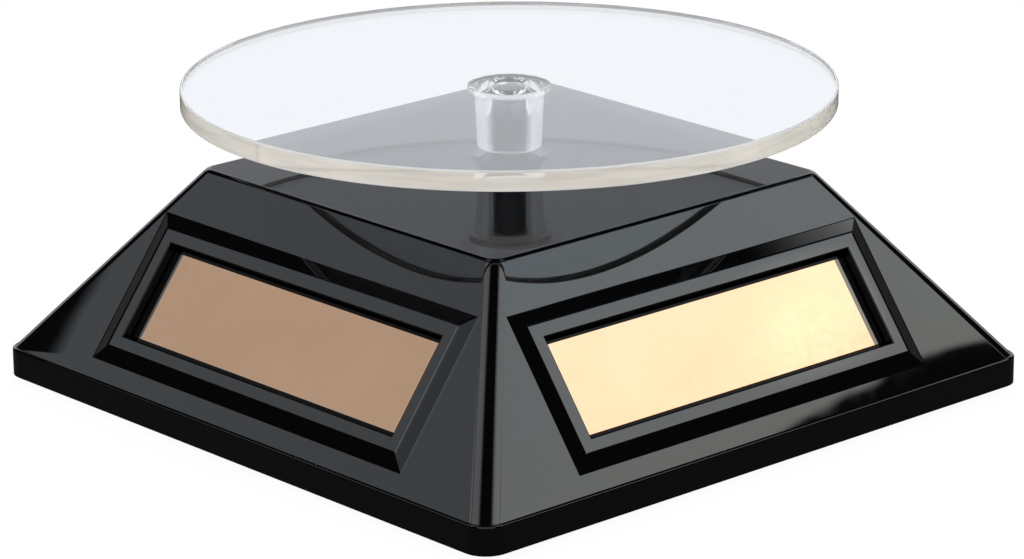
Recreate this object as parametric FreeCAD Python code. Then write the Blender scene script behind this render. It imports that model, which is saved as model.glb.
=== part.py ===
"""Solar turntable for showing jewellery: a pyramid base with four solar windows and a clear turning disc.

Millimetres, +Z up. The origin is on the table, under the middle of the base.
The front face looks to -Y, the right face to +X.
"""
import FreeCAD
import Part
import math
import os

# Base housing
base_side = 106.0
skirt_height = 4.2
skirt_corner_radius = 3.6
skirt_edge_radius = 0.4
skirt_step = 0.5
top_side = 63.4
housing_height = 31.6
ridge_radius = 2.2
top_edge_radius = 1.0
wall = 2.2
top_thickness = 2.4
inner_corner_radius = 1.0

# Window frames on the four sloped faces
window_width = 59.1
window_height = 15.0
window_up_slope = 14.7
land_width = 2.1
bevel_width = 2.2
frame_rise = 0.5

# Solar panels behind the windows
panel_lap = 1.6
panel_thickness = 1.4
panel_gap = 0.15
panel_rib_width = 1.0
panel_rib_height = 1.8
panel_rib_length = 24.0

# Bottom cover, its screws and the rubber feet
cover_thickness = 2.2
cover_inset = 0.4
cover_gap = 0.15
cover_boss_height = 2.0
pillar_diameter = 7.0
pillar_inset = 10.0
cover_screw_diameter = 2.6
cover_screw_length = 8.0
cover_screw_head_diameter = 4.6
cover_screw_head_height = 1.4
foot_diameter = 9.0
foot_stand = 1.0
foot_seat_depth = 0.6
foot_chamfer = 0.4

# Tip, head edge and slot that all screws share
screw_tip_length = 1.0
screw_tip_taper = 0.5
screw_head_chamfer = 0.3
screw_slot_width = 0.6
screw_slot_depth = 0.4

# Turning disc, hub and spindle
disc_diameter = 94.5
disc_thickness = 3.0
disc_chamfer = 0.4
disc_lift = 10.4
hub_flange_diameter = 12.0
hub_flange_thickness = 0.8
hub_top_diameter = 10.1
hub_bottom_diameter = 9.4
hub_lift = 1.4
hub_crown = 1.1
hub_edge_radius = 0.4
spindle_diameter = 4.8
spindle_tip_gap = 0.2
spindle_tip_chamfer = 0.4
spindle_shank_diameter = 2.6
bush_flange_diameter = 11.0
bush_flange_thickness = 0.5
bush_chamfer = 0.25
bush_sleeve_diameter = 7.0
bush_overhang = 1.0

# Gear train
gear_module = 0.5
wheel_teeth = 40
pinion_teeth = 10
profile_shift = 0.4
pressure_angle = 20.0
backlash = 0.06
root_clearance = 0.25
flank_steps = 3
wheel_face = 1.8
wheel_web = 0.9
wheel_rim = 1.6
wheel_boss_diameter = 5.6
output_boss_diameter = 7.6
gear_boss_diameter = 3.6
layer_gap = 0.5
end_play = 0.1
lower_gap = 0.4
upper_gap = 0.7
axle_diameter = 2.0
train_angles = (-150.0, -50.0, 15.0)

# Gearbox plates
gearbox_plate_thickness = 1.5
gearbox_margin = 3.0
gearbox_corner_radius = 3.0
post_diameter = 5.0
post_inset = 3.5
gearbox_screw_diameter = 2.0
gearbox_screw_grip = 3.0
gearbox_screw_head_diameter = 3.6
gearbox_screw_head_height = 1.3
gearbox_boss_diameter = 6.0

# Motor
motor_diameter = 21.0
motor_can_length = 9.0
motor_can_radius = 1.0
motor_cap_thickness = 1.5
motor_cap_step = 0.8
motor_boss_diameter = 6.0
motor_boss_height = 1.0
motor_shaft_diameter = 2.0
motor_shaft_depth = 3.0
motor_clearance = 1.4
motor_screw_spacing = 15.0
motor_screw_diameter = 2.0
motor_screw_grip = 2.0
motor_screw_head_diameter = 3.4
motor_screw_head_height = 1.0
terminal_width = 2.0
terminal_length = 2.6
terminal_thickness = 0.4
terminal_spacing = 9.0

# Battery bay for one AA cell, its contacts and door
cell_diameter = 14.5
cell_length = 50.5
bay_side_room = 0.4
bay_spring_room = 5.0
bay_plate_room = 1.2
tray_wall = 1.2
tray_edge_radius = 2.5
contact_thickness = 0.4
contact_width = 9.0
contact_height = 11.0
contact_lift = 1.4
dimple_diameter = 5.0
bow_depth = 3.6
door_thickness = 1.6
door_gap = 0.2
door_lap = 1.5
door_pin_diameter = 0.9
door_pin_length = 1.2
nail_notch_radius = 5.0
nail_notch_depth = 1.0
door_grip_count = 4
door_grip_width = 0.8
door_grip_depth = 0.4
door_grip_length = 7.0

# Slide switch
switch_length = 10.0
switch_width = 5.0
switch_height = 4.6
switch_inset = 12.0
switch_travel = 3.0
switch_slot_depth = 2.0
knob_length = 3.4
knob_width = 2.8
knob_stem_length = 2.4
knob_stem_width = 1.6
knob_tip_clearance = 0.1
knob_thickness = 0.9
switch_pocket_depth = 0.9
switch_pocket_margin = 1.2
switch_rib_thickness = 1.2
switch_rib_height = 3.4
pin_count = 3
pin_pitch = 2.5
pin_size = 0.6
pin_length = 2.2

# Clearances of all fits, how far a cut runs past a face, and what counts as no distance
press_fit = 0.02
running_fit = 0.05
slide_fit = 0.1
loose_fit = 0.3
overcut = 1.0
same_place = 1e-6

# Levels, from the table upwards
skirt_z = foot_stand
slope_z = skirt_z + skirt_height
top_z = skirt_z + housing_height
ceiling_z = top_z - top_thickness
cover_z = skirt_z + cover_inset
floor_z = cover_z + cover_thickness
pillar_z = floor_z + cover_boss_height
disc_z = top_z + disc_lift
hub_z = top_z + hub_lift
bore_top_z = disc_z - hub_crown
cap_z = floor_z + motor_clearance
can_z = cap_z + motor_cap_thickness
lower_plate_z = can_z + motor_can_length
train_z = lower_plate_z + gearbox_plate_thickness
stage_count = len(train_angles)
layer_z = [train_z + lower_gap + step * (wheel_face + layer_gap) for step in range(stage_count)]
upper_plate_z = layer_z[-1] + wheel_face + upper_gap
hanger_z = upper_plate_z + gearbox_plate_thickness

# Slope of the faces and sizes that follow from it
slope_foot_half = base_side / 2 - skirt_step
slope_run = slope_foot_half - top_side / 2
slope_rise = top_z - slope_z
slope_angle = math.degrees(math.atan2(slope_rise, slope_run))
slope_sine = math.sin(math.radians(slope_angle))
panel_width = window_width + 2 * panel_lap
panel_height = window_height + 2 * panel_lap
pocket_side = base_side - 2 * wall
pillar_offset = base_side / 2 - pillar_inset

# Gear sizes and axis places
wheel_pitch_radius = gear_module * wheel_teeth / 2
pinion_pitch_radius = gear_module * pinion_teeth / 2
axis_spacing = wheel_pitch_radius + pinion_pitch_radius
wheel_tip_radius = wheel_pitch_radius + gear_module * (1 - profile_shift)

# Battery bay
bay_width = cell_diameter + 2 * bay_side_room
bay_length = cell_length + bay_spring_room + bay_plate_room
bay_floor_z = cover_z + door_thickness
bay_roof_z = bay_floor_z + bay_width
tray_top_z = bay_roof_z + tray_wall
door_length = bay_length + 2 * door_lap
door_width = bay_width + 2 * door_lap
door_hinge_x = -(door_length - door_thickness) / 2
door_hinge_z = cover_z + door_thickness / 2

FACES = ("front", "right", "back", "left")
CORNERS = {"front_left": (-1, -1), "front_right": (1, -1), "back_right": (1, 1), "back_left": (-1, 1)}


def vec(x, y, z):
    """A point or direction."""
    return FreeCAD.Vector(x, y, z)


def polar(radius, degrees):
    """Flat place at a distance and angle from the origin."""
    return (radius * math.cos(math.radians(degrees)), radius * math.sin(math.radians(degrees)))


def train_axes():
    """Places of the output, first, second and motor axes, one mesh after the other."""
    places = [(0.0, 0.0)]
    for angle in train_angles:
        step_x, step_y = polar(axis_spacing, angle)
        places.append((places[-1][0] + step_x, places[-1][1] + step_y))
    return places


axes = train_axes()


def outer_half(z):
    """Half the width across two opposite sloped faces at a height."""
    return slope_foot_half - (z - slope_z) * slope_run / slope_rise


def inner_half(z, depth):
    """Half the width between planes that lie a depth behind the sloped faces."""
    return outer_half(z) - depth / slope_sine


def round_rectangle(width, depth, radius, z):
    """Closed wire of a rectangle with round corners, centred on the Z axis."""
    middle_x = width / 2 - radius
    middle_y = depth / 2 - radius
    diagonal = radius * math.sqrt(0.5)
    edges = []
    for turn in range(4):
        spin = FreeCAD.Rotation(vec(0, 0, 1), 90 * turn)
        near = middle_x if turn % 2 == 0 else middle_y
        far = middle_y if turn % 2 == 0 else middle_x
        start = spin.multVec(vec(-near, -far - radius, 0))
        end = spin.multVec(vec(near, -far - radius, 0))
        bend = spin.multVec(vec(near + diagonal, -far - diagonal, 0))
        finish = spin.multVec(vec(near + radius, -far, 0))
        edges.append(Part.LineSegment(start, end).toShape())
        edges.append(Part.Arc(end, bend, finish).toShape())
    wire = Part.Wire(edges)
    wire.translate(vec(0, 0, z))
    return wire


def round_slab(width, depth, radius, z, height):
    """Plate with round corners, centred on the Z axis."""
    return Part.Face(round_rectangle(width, depth, radius, z)).extrude(vec(0, 0, height))


def block(width, depth, height, x, y, z):
    """Box centred on x and y, standing on z."""
    return Part.makeBox(width, depth, height, vec(x - width / 2, y - depth / 2, z))


def post(diameter, z, height, x=0.0, y=0.0):
    """Upright cylinder standing on z."""
    return Part.makeCylinder(diameter / 2, height, vec(x, y, z))


def turned(profile, x=0.0, y=0.0):
    """Solid turned about an upright axis from a list of (radius, z) points."""
    points = [vec(radius, 0, z) for radius, z in profile]
    face = Part.Face(Part.makePolygon(points + points[:1]))
    solid = face.revolve(vec(0, 0, 0), vec(0, 0, 1), 360)
    solid.translate(vec(x, y, 0))
    return solid


def joined(first, others):
    """One solid from overlapping solids."""
    return first.fuse(others).removeSplitter()


def edges_at(shape, z):
    """Edges that lie wholly at a height."""
    return [edge for edge in shape.Edges if max(abs(v.Z - z) for v in edge.Vertexes) < same_place]


def on_face(shape, turn):
    """Bring a shape drawn flat onto a sloped face: x along it, y up the slope, z out of it."""
    tilt = FreeCAD.Placement(vec(0, -slope_foot_half, slope_z), FreeCAD.Rotation(vec(1, 0, 0), slope_angle))
    spin = FreeCAD.Placement(vec(0, 0, 0), FreeCAD.Rotation(vec(0, 0, 1), 90 * turn))
    moved = shape.copy()
    moved.Placement = spin.multiply(tilt).multiply(shape.Placement)
    return moved


def save(name, *solids):
    """Write one node, with every solid checked."""
    for solid in solids:
        if not solid.isValid() or solid.Volume <= 0:
            raise ValueError("bad solid in " + name)
    shape = solids[0] if len(solids) == 1 else Part.makeCompound(list(solids))
    shape.exportStep("parts/" + name + ".step")


def window_frame():
    """Raised frame of one window, drawn flat, with its root inside the wall."""
    foot_width = window_width + 2 * (land_width + bevel_width)
    foot_height = window_height + 2 * (land_width + bevel_width)
    root = block(foot_width, foot_height, wall / 2, 0, window_up_slope, -wall / 2)
    outlines = []
    for margin, z in ((land_width + bevel_width, 0.0), (land_width, frame_rise)):
        half_x = window_width / 2 + margin
        half_y = window_height / 2 + margin
        corners = [(-half_x, -half_y), (half_x, -half_y), (half_x, half_y), (-half_x, half_y)]
        points = [vec(x, window_up_slope + y, z) for x, y in corners]
        outlines.append(Part.makePolygon(points + points[:1]))
    return joined(root, [Part.makeLoft(outlines, True, True)])


def panel_ribs():
    """Ribs behind one face that locate the panel, two above and two below, drawn flat."""
    ribs = []
    reach = panel_height / 2 + panel_gap + panel_rib_width / 2
    for side in (-1, 1):
        for end in (-1, 1):
            x = end * (panel_width - panel_rib_length) / 2
            y = window_up_slope + side * reach
            height = panel_rib_height + wall / 2
            ribs.append(block(panel_rib_length, panel_rib_width, height, x, y, -wall - panel_rib_height))
    return ribs


def gearbox_edges():
    """Least and greatest x and y of the gearbox plates."""
    reach = [wheel_tip_radius, wheel_tip_radius, wheel_tip_radius, motor_diameter / 2]
    low_x = min(axis[0] - r for axis, r in zip(axes, reach)) - gearbox_margin
    high_x = max(axis[0] + r for axis, r in zip(axes, reach)) + gearbox_margin
    low_y = min(axis[1] - r for axis, r in zip(axes, reach)) - gearbox_margin
    high_y = max(axis[1] + r for axis, r in zip(axes, reach)) + gearbox_margin
    return low_x, high_x, low_y, high_y


def post_places():
    """Places of the four posts that join the gearbox plates."""
    low_x, high_x, low_y, high_y = gearbox_edges()
    places = []
    for x in (low_x + post_inset, high_x - post_inset):
        for y in (low_y + post_inset, high_y - post_inset):
            places.append((x, y))
    return places


def base_shell():
    """Moulded pyramid with skirt, window frames, screw pillars and gearbox hangers, open below."""
    skirt = round_slab(base_side, base_side, skirt_corner_radius, skirt_z, skirt_height)
    skirt = skirt.makeFillet(skirt_edge_radius, edges_at(skirt, slope_z))
    foot_side = 2 * slope_foot_half
    foot = round_rectangle(foot_side, foot_side, skirt_corner_radius - skirt_step, slope_z)
    crown = round_rectangle(top_side, top_side, ridge_radius, top_z)
    pyramid = Part.makeLoft([foot, crown], True, True)
    pyramid = pyramid.makeFillet(top_edge_radius, edges_at(pyramid, top_z))
    solid = skirt.fuse(pyramid)
    frame = window_frame()
    body = joined(solid, [on_face(frame, turn) for turn in range(4)])

    pocket_radius = skirt_corner_radius - wall
    pocket = round_slab(pocket_side, pocket_side, pocket_radius, skirt_z, floor_z - skirt_z)
    throat_side = 2 * inner_half(slope_z, wall)
    throat = round_slab(throat_side, throat_side, inner_corner_radius, floor_z, slope_z - floor_z)
    room_side = 2 * inner_half(ceiling_z, wall)
    room_foot = round_rectangle(throat_side, throat_side, inner_corner_radius, slope_z)
    room_top = round_rectangle(room_side, room_side, inner_corner_radius, ceiling_z)
    room = Part.makeLoft([room_foot, room_top], True, True)
    hollow = body.cut(joined(pocket, [throat, room]))

    added = []
    for sign_x, sign_y in CORNERS.values():
        x = sign_x * pillar_offset
        y = sign_y * pillar_offset
        added.append(post(pillar_diameter, pillar_z, top_z - pillar_z, x, y).common(solid))
    for x, y in post_places():
        added.append(post(gearbox_boss_diameter, hanger_z, top_z - top_thickness / 2 - hanger_z, x, y))
    for turn in range(4):
        added.extend(on_face(rib, turn) for rib in panel_ribs())
    filled = joined(hollow, added)

    cuts = [post(bush_sleeve_diameter + 2 * press_fit, ceiling_z - overcut, top_thickness + 2 * overcut)]
    opening_depth = wall + frame_rise + 2 * overcut
    opening = block(window_width, window_height, opening_depth, 0, window_up_slope, -wall - overcut)
    cuts.extend(on_face(opening, turn) for turn in range(4))
    pilot_depth = cover_screw_seat_z() + cover_screw_length + loose_fit - pillar_z
    for sign_x, sign_y in CORNERS.values():
        pilot = cover_screw_diameter + 2 * press_fit
        cuts.append(post(pilot, pillar_z, pilot_depth, sign_x * pillar_offset, sign_y * pillar_offset))
    for x, y in post_places():
        pilot = gearbox_screw_diameter + 2 * press_fit
        cuts.append(post(pilot, hanger_z, gearbox_screw_grip + loose_fit, x, y))
    return filled.cut(cuts)


def solar_panel():
    """Flat glass cell behind one window, drawn flat."""
    return block(panel_width, panel_height, panel_thickness, 0, window_up_slope, -wall - panel_thickness)


def cover_screw_seat_z():
    """Height of the face that the cover screws' heads bear on."""
    return cover_z + foot_seat_depth + cover_screw_head_height + slide_fit


def bay_centre_y():
    """Middle of the battery bay, half way between the gearbox and the back panel."""
    back_limit = inner_half(tray_top_z, wall + panel_thickness)
    return (gearbox_edges()[3] + back_limit) / 2


def switch_centre_y():
    """Middle of the slide switch."""
    return -(pocket_side / 2 - switch_inset)


def cross_pin(diameter, length, x, z):
    """Round bar along Y through the middle of the battery bay's width."""
    return Part.makeCylinder(diameter / 2, length, vec(x, bay_centre_y() - length / 2, z), vec(0, 1, 0))


def rebate_span(door_span):
    """Length or width of the rebate that a door of that length or width lies in."""
    return door_span + 2 * door_gap


def bottom_cover():
    """Plate that closes the base, with the battery tray, screw bosses and switch seat moulded on."""
    plate_side = pocket_side - 2 * cover_gap
    corner = skirt_corner_radius - wall - cover_gap
    plate = round_slab(plate_side, plate_side, corner, cover_z, cover_thickness)
    y = bay_centre_y()
    tray_length = bay_length + 2 * tray_wall
    tray_width = bay_width + 2 * tray_wall
    tray = block(tray_length, tray_width, tray_top_z - cover_z, 0, y, cover_z)
    tray = tray.makeFillet(tray_edge_radius, edges_at(tray, tray_top_z))
    added = [tray]
    for sign_x, sign_y in CORNERS.values():
        x = sign_x * pillar_offset
        added.append(post(pillar_diameter, cover_z, pillar_z - cover_z, x, sign_y * pillar_offset))
    for side in (-1, 1):
        x = side * (switch_length / 2 + slide_fit + switch_rib_thickness / 2)
        rib_height = cover_thickness + switch_rib_height
        added.append(block(switch_rib_thickness, switch_width, rib_height, x, switch_centre_y(), cover_z))
    body = joined(plate, added)

    cuts = [block(bay_length, bay_width, bay_roof_z - cover_z, 0, y, cover_z)]
    rebate_length = rebate_span(door_length)
    rebate_width = rebate_span(door_width)
    cuts.append(block(rebate_length, rebate_width, door_thickness, 0, y, cover_z))
    pin_span = rebate_width + 2 * (door_pin_length + slide_fit)
    cuts.append(cross_pin(door_pin_diameter + 2 * running_fit, pin_span, door_hinge_x, door_hinge_z))
    cuts.append(cross_pin(door_thickness + 2 * loose_fit, rebate_width, door_hinge_x, door_hinge_z))
    notch_x = rebate_length / 2
    cuts.append(post(2 * nail_notch_radius, cover_z, nail_notch_depth, notch_x, y))
    for sign_x, sign_y in CORNERS.values():
        x = sign_x * pillar_offset
        corner_y = sign_y * pillar_offset
        head_depth = cover_screw_seat_z() - cover_z
        cuts.append(post(foot_diameter + 2 * slide_fit, cover_z, foot_seat_depth, x, corner_y))
        cuts.append(post(cover_screw_head_diameter + 2 * slide_fit, cover_z, head_depth, x, corner_y))
        cuts.append(post(cover_screw_diameter + 2 * slide_fit, cover_z, pillar_z - cover_z, x, corner_y))
    pocket_length = knob_length + switch_travel + 2 * switch_pocket_margin
    pocket_width = knob_width + 2 * switch_pocket_margin
    cuts.append(block(pocket_length, pocket_width, switch_pocket_depth, 0, switch_centre_y(), cover_z))
    slot_length = knob_stem_length + switch_travel + 2 * slide_fit
    slot_width = knob_stem_width + 2 * slide_fit
    cuts.append(block(slot_length, slot_width, cover_thickness, 0, switch_centre_y(), cover_z))
    return body.cut(cuts)


def battery_door():
    """Flat door over the battery bay, with a round hinge end on two pins and a ribbed thumb grip."""
    y = bay_centre_y()
    plate_length = door_length / 2 - door_hinge_x
    plate_x = (door_length / 2 + door_hinge_x) / 2
    plate = block(plate_length, door_width, door_thickness, plate_x, y, cover_z)
    knuckle = cross_pin(door_thickness, door_width, door_hinge_x, door_hinge_z)
    pin_span = rebate_span(door_width) + 2 * door_pin_length
    pins = cross_pin(door_pin_diameter, pin_span, door_hinge_x, door_hinge_z)
    door = joined(plate, [knuckle, pins])
    grooves = []
    for index in range(door_grip_count):
        x = door_length / 2 - door_lap - 2 * door_grip_width * (index + 1)
        grooves.append(block(door_grip_width, door_grip_length, door_grip_depth, x, y, cover_z))
    return door.cut(grooves)


def rubber_foot(x, y):
    """Round pad set in the cover over a screw head."""
    pad = post(foot_diameter, 0, foot_stand + cover_inset + foot_seat_depth, x, y)
    return pad.makeChamfer(foot_chamfer, edges_at(pad, 0))


def pan_screw(diameter, length, head_diameter, head_height, x, y, z, up):
    """Screw whose head bears at z, with the shank going up or down from there."""
    radius = diameter / 2
    shank = [(0, 0), (radius, 0), (radius, length - screw_tip_length)]
    shank += [(radius - screw_tip_taper, length), (0, length)]
    body = turned(shank)
    head = post(head_diameter, -head_height, head_height)
    head = head.makeChamfer(screw_head_chamfer, edges_at(head, -head_height))
    slot = block(head_diameter, screw_slot_width, screw_slot_depth, 0, 0, -head_height)
    screw = joined(head, [body]).cut(slot)
    if not up:
        screw = screw.rotated(vec(0, 0, 0), vec(1, 0, 0), 180)
    return screw.translated(vec(x, y, z))


def turntable_disc():
    """Clear round plate with broken edges."""
    disc = post(disc_diameter, disc_z, disc_thickness)
    rims = edges_at(disc, disc_z) + edges_at(disc, disc_z + disc_thickness)
    return disc.makeChamfer(disc_chamfer, rims)


def turntable_hub():
    """Clear flanged socket under the disc, with a blind bore for the spindle."""
    flange_z = disc_z - hub_flange_thickness
    bore = spindle_diameter / 2 + running_fit
    profile = [(bore, hub_z), (hub_bottom_diameter / 2, hub_z), (hub_top_diameter / 2, flange_z)]
    profile += [(hub_flange_diameter / 2, flange_z), (hub_flange_diameter / 2, disc_z)]
    profile += [(0, disc_z), (0, bore_top_z), (bore, bore_top_z)]
    hub = turned(profile)
    rims = [edge for edge in edges_at(hub, hub_z) if edge.BoundBox.XLength > 2 * bore + hub_edge_radius]
    return hub.makeFillet(hub_edge_radius, rims)


def drive_spindle():
    """Stepped spindle: pivot in the lower plate, shank past the first wheel, journal up to the hub."""
    pivot = axle_diameter / 2
    shank = spindle_shank_diameter / 2
    journal = spindle_diameter / 2
    tip_z = bore_top_z - spindle_tip_gap
    shoulder_z = train_z + running_fit
    profile = [(0, lower_plate_z), (pivot, lower_plate_z), (pivot, shoulder_z), (shank, shoulder_z)]
    profile += [(shank, layer_z[-1]), (journal, layer_z[-1]), (journal, tip_z - spindle_tip_chamfer)]
    profile += [(journal - spindle_tip_chamfer, tip_z), (0, tip_z)]
    return turned(profile)


def spindle_bush():
    """Flanged bush in the top plate that guides the spindle."""
    bore = spindle_diameter / 2 + running_fit
    sleeve = bush_sleeve_diameter / 2
    flange = bush_flange_diameter / 2
    rim_z = top_z + bush_flange_thickness
    low_z = ceiling_z - bush_overhang
    profile = [(bore, low_z), (sleeve, low_z), (sleeve, top_z), (flange, top_z)]
    profile += [(flange, rim_z - bush_chamfer), (flange - bush_chamfer, rim_z)]
    profile += [(bore, rim_z)]
    return turned(profile)


def involute(angle):
    """Involute function of an angle in radians."""
    return math.tan(angle) - angle


def gear_teeth(teeth, shift, z, height, tooth_angle):
    """Toothed cylinder with involute flanks, one tooth centred on an angle."""
    pressure = math.radians(pressure_angle)
    pitch = gear_module * teeth / 2
    base = pitch * math.cos(pressure)
    tip = pitch + gear_module * (1 + shift)
    root = pitch - gear_module * (1 + root_clearance - shift)
    thickness = gear_module * (math.pi / 2 + 2 * shift * math.tan(pressure)) - backlash / 2
    half_at_base = thickness / (2 * pitch) + involute(pressure)
    start = max(base, root)
    radii = [start + (tip - start) * step / flank_steps for step in range(flank_steps + 1)]
    flank = [(radius, half_at_base - involute(math.acos(base / radius))) for radius in radii]
    if root < base:
        flank.insert(0, (root, half_at_base))
    points = []
    for tooth in range(teeth):
        centre = math.radians(tooth_angle) + 2 * math.pi * tooth / teeth
        points += [(radius, centre - half) for radius, half in flank]
        points += [(radius, centre + half) for radius, half in reversed(flank)]
    corners = [vec(radius * math.cos(a), radius * math.sin(a), z) for radius, a in points]
    return Part.Face(Part.makePolygon(corners + corners[:1])).extrude(vec(0, 0, height))


def spur_wheel(z, tooth_angle, boss_diameter):
    """Large wheel with a thinner web between rim and boss."""
    wheel = gear_teeth(wheel_teeth, -profile_shift, z, wheel_face, tooth_angle)
    rim = wheel_pitch_radius - gear_module * (1 + root_clearance + profile_shift) - wheel_rim
    recess = (wheel_face - wheel_web) / 2
    rings = []
    for level in (z, z + wheel_face - recess):
        rings.append(post(2 * rim, level, recess).cut(post(boss_diameter, level, recess)))
    return wheel.cut(rings)


def pinion_angle(mesh):
    """Angle of a pinion's tooth that puts a gap where the wheel before it has a tooth."""
    return train_angles[mesh] + 180.0 + 180.0 / pinion_teeth


def output_gear():
    """Wheel pressed on the spindle's journal."""
    wheel = spur_wheel(layer_z[-1], train_angles[0], output_boss_diameter)
    boss = post(output_boss_diameter, layer_z[-1], wheel_face + upper_gap - end_play)
    bore = post(spindle_diameter + 2 * press_fit, layer_z[-1], wheel_face + upper_gap)
    return joined(wheel, [boss]).cut(bore)


def reduction_gear(stage):
    """Compound gear on axis 1 or 2: a wheel below, and the pinion that drives the stage above it."""
    x, y = axes[stage]
    wheel_z = layer_z[stage_count - 1 - stage]
    pinion_z = wheel_z + wheel_face
    pinion_height = layer_gap + wheel_face
    wheel = spur_wheel(wheel_z, train_angles[stage], wheel_boss_diameter)
    pinion = gear_teeth(pinion_teeth, profile_shift, pinion_z, pinion_height, pinion_angle(stage - 1))
    low_z = train_z + end_play
    high_z = upper_plate_z - end_play
    boss = post(gear_boss_diameter, low_z, high_z - low_z)
    bore = post(axle_diameter + 2 * running_fit, low_z, high_z - low_z)
    gear = joined(wheel, [pinion, boss]).cut(bore)
    return gear.translated(vec(x, y, 0))


def gear_axle(stage):
    """Steel pin held in both gearbox plates."""
    x, y = axes[stage]
    return post(axle_diameter, lower_plate_z, hanger_z - lower_plate_z, x, y)


def gearbox_plate(z):
    """Plain plate of the gearbox outline, with holes for the posts' screws and the two axles."""
    low_x, high_x, low_y, high_y = gearbox_edges()
    plate = round_slab(high_x - low_x, high_y - low_y, gearbox_corner_radius, z, gearbox_plate_thickness)
    plate.translate(vec((low_x + high_x) / 2, (low_y + high_y) / 2, 0))
    return plate


def plate_holes(z, height):
    """Holes that both gearbox plates have."""
    holes = []
    for x, y in post_places():
        holes.append(post(gearbox_screw_diameter + 2 * slide_fit, z, height, x, y))
    for x, y in axes[1:3]:
        holes.append(post(axle_diameter + 2 * press_fit, z, height, x, y))
    return holes


def motor_screw_places():
    """Places of the two motor screws, square to the line from the last wheel to the motor."""
    x, y = axes[3]
    places = []
    for side in (-90.0, 90.0):
        step_x, step_y = polar(motor_screw_spacing / 2, train_angles[2] + side)
        places.append((x + step_x, y + step_y))
    return places


def gearbox_lower_plate():
    """Plate that carries the motor below and the pivots above, with four hollow posts."""
    plate = gearbox_plate(lower_plate_z)
    height = upper_plate_z - lower_plate_z
    posts = [post(post_diameter, lower_plate_z, height, x, y) for x, y in post_places()]
    body = joined(plate, posts)
    cuts = plate_holes(lower_plate_z, height)
    cuts.append(post(axle_diameter + 2 * running_fit, lower_plate_z, gearbox_plate_thickness))
    motor_x, motor_y = axes[3]
    collar = motor_boss_diameter + 2 * slide_fit
    cuts.append(post(collar, lower_plate_z, gearbox_plate_thickness, motor_x, motor_y))
    for x, y in motor_screw_places():
        hole = motor_screw_diameter + 2 * slide_fit
        cuts.append(post(hole, lower_plate_z, gearbox_plate_thickness, x, y))
    return body.cut(cuts)


def gearbox_upper_plate():
    """Plate over the gears that hangs on the base's bosses."""
    cuts = plate_holes(upper_plate_z, gearbox_plate_thickness)
    cuts.append(post(spindle_diameter + 2 * running_fit, upper_plate_z, gearbox_plate_thickness))
    return gearbox_plate(upper_plate_z).cut(cuts)


def motor_can():
    """Drawn steel can with a bearing collar, threaded holes and a bore for the shaft."""
    x, y = axes[3]
    can = post(motor_diameter, can_z, motor_can_length, x, y)
    can = can.makeFillet(motor_can_radius, edges_at(can, lower_plate_z))
    collar = post(motor_boss_diameter, can_z + overcut, motor_can_length - overcut + motor_boss_height, x, y)
    cuts = []
    bore_z = lower_plate_z - motor_shaft_depth
    bore = motor_shaft_diameter + 2 * running_fit
    cuts.append(post(bore, bore_z, motor_shaft_depth + motor_boss_height, x, y))
    for hole_x, hole_y in motor_screw_places():
        hole = motor_screw_diameter + 2 * press_fit
        depth = motor_screw_grip + loose_fit
        cuts.append(post(hole, lower_plate_z - depth, depth, hole_x, hole_y))
    return joined(can, [collar]).cut(cuts)


def motor_end_cap():
    """Plastic cap that closes the can's lower end, with a rear bearing collar."""
    x, y = axes[3]
    low_diameter = motor_diameter - 2 * motor_cap_step
    cap = post(low_diameter, cap_z, motor_cap_thickness, x, y)
    collar = post(motor_boss_diameter, cap_z - motor_cap_step, motor_cap_step + motor_cap_thickness / 2, x, y)
    return joined(cap, [collar])


def motor_terminals():
    """Two solder tags standing out of the end cap."""
    x, y = axes[3]
    tags = []
    for side in (-1, 1):
        tag_x = x + side * terminal_spacing / 2
        tag_y = y - motor_diameter / 2 + motor_cap_step
        tag_z = cap_z - terminal_thickness
        tags.append(block(terminal_width, terminal_length, terminal_thickness, tag_x, tag_y, tag_z))
    return tags


def motor_shaft():
    """Steel shaft from the can to the top of the pinion."""
    x, y = axes[3]
    low_z = lower_plate_z - motor_shaft_depth + slide_fit
    return post(motor_shaft_diameter, low_z, layer_z[0] + wheel_face + slide_fit - low_z, x, y)


def motor_pinion():
    """Small pinion on the motor shaft that drives the lowest wheel."""
    x, y = axes[3]
    low_z = train_z + end_play
    height = layer_z[0] + wheel_face - low_z
    teeth = gear_teeth(pinion_teeth, profile_shift, low_z, height, pinion_angle(stage_count - 1))
    bore = post(motor_shaft_diameter + 2 * press_fit, low_z, height)
    return teeth.cut(bore).translated(vec(x, y, 0))


def contact_positive():
    """Flat sheet contact with a raised button, against the bay's +X end."""
    x = bay_length / 2 - contact_thickness / 2
    y = bay_centre_y()
    z = bay_floor_z + contact_lift
    sheet = block(contact_thickness, contact_width, contact_height, x, y, z)
    middle = vec(bay_length / 2, y, z + contact_height / 2)
    button = Part.makeCylinder(dimple_diameter / 2, bay_plate_room - contact_thickness, middle, vec(-1, 0, 0))
    return joined(sheet, [button])


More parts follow.
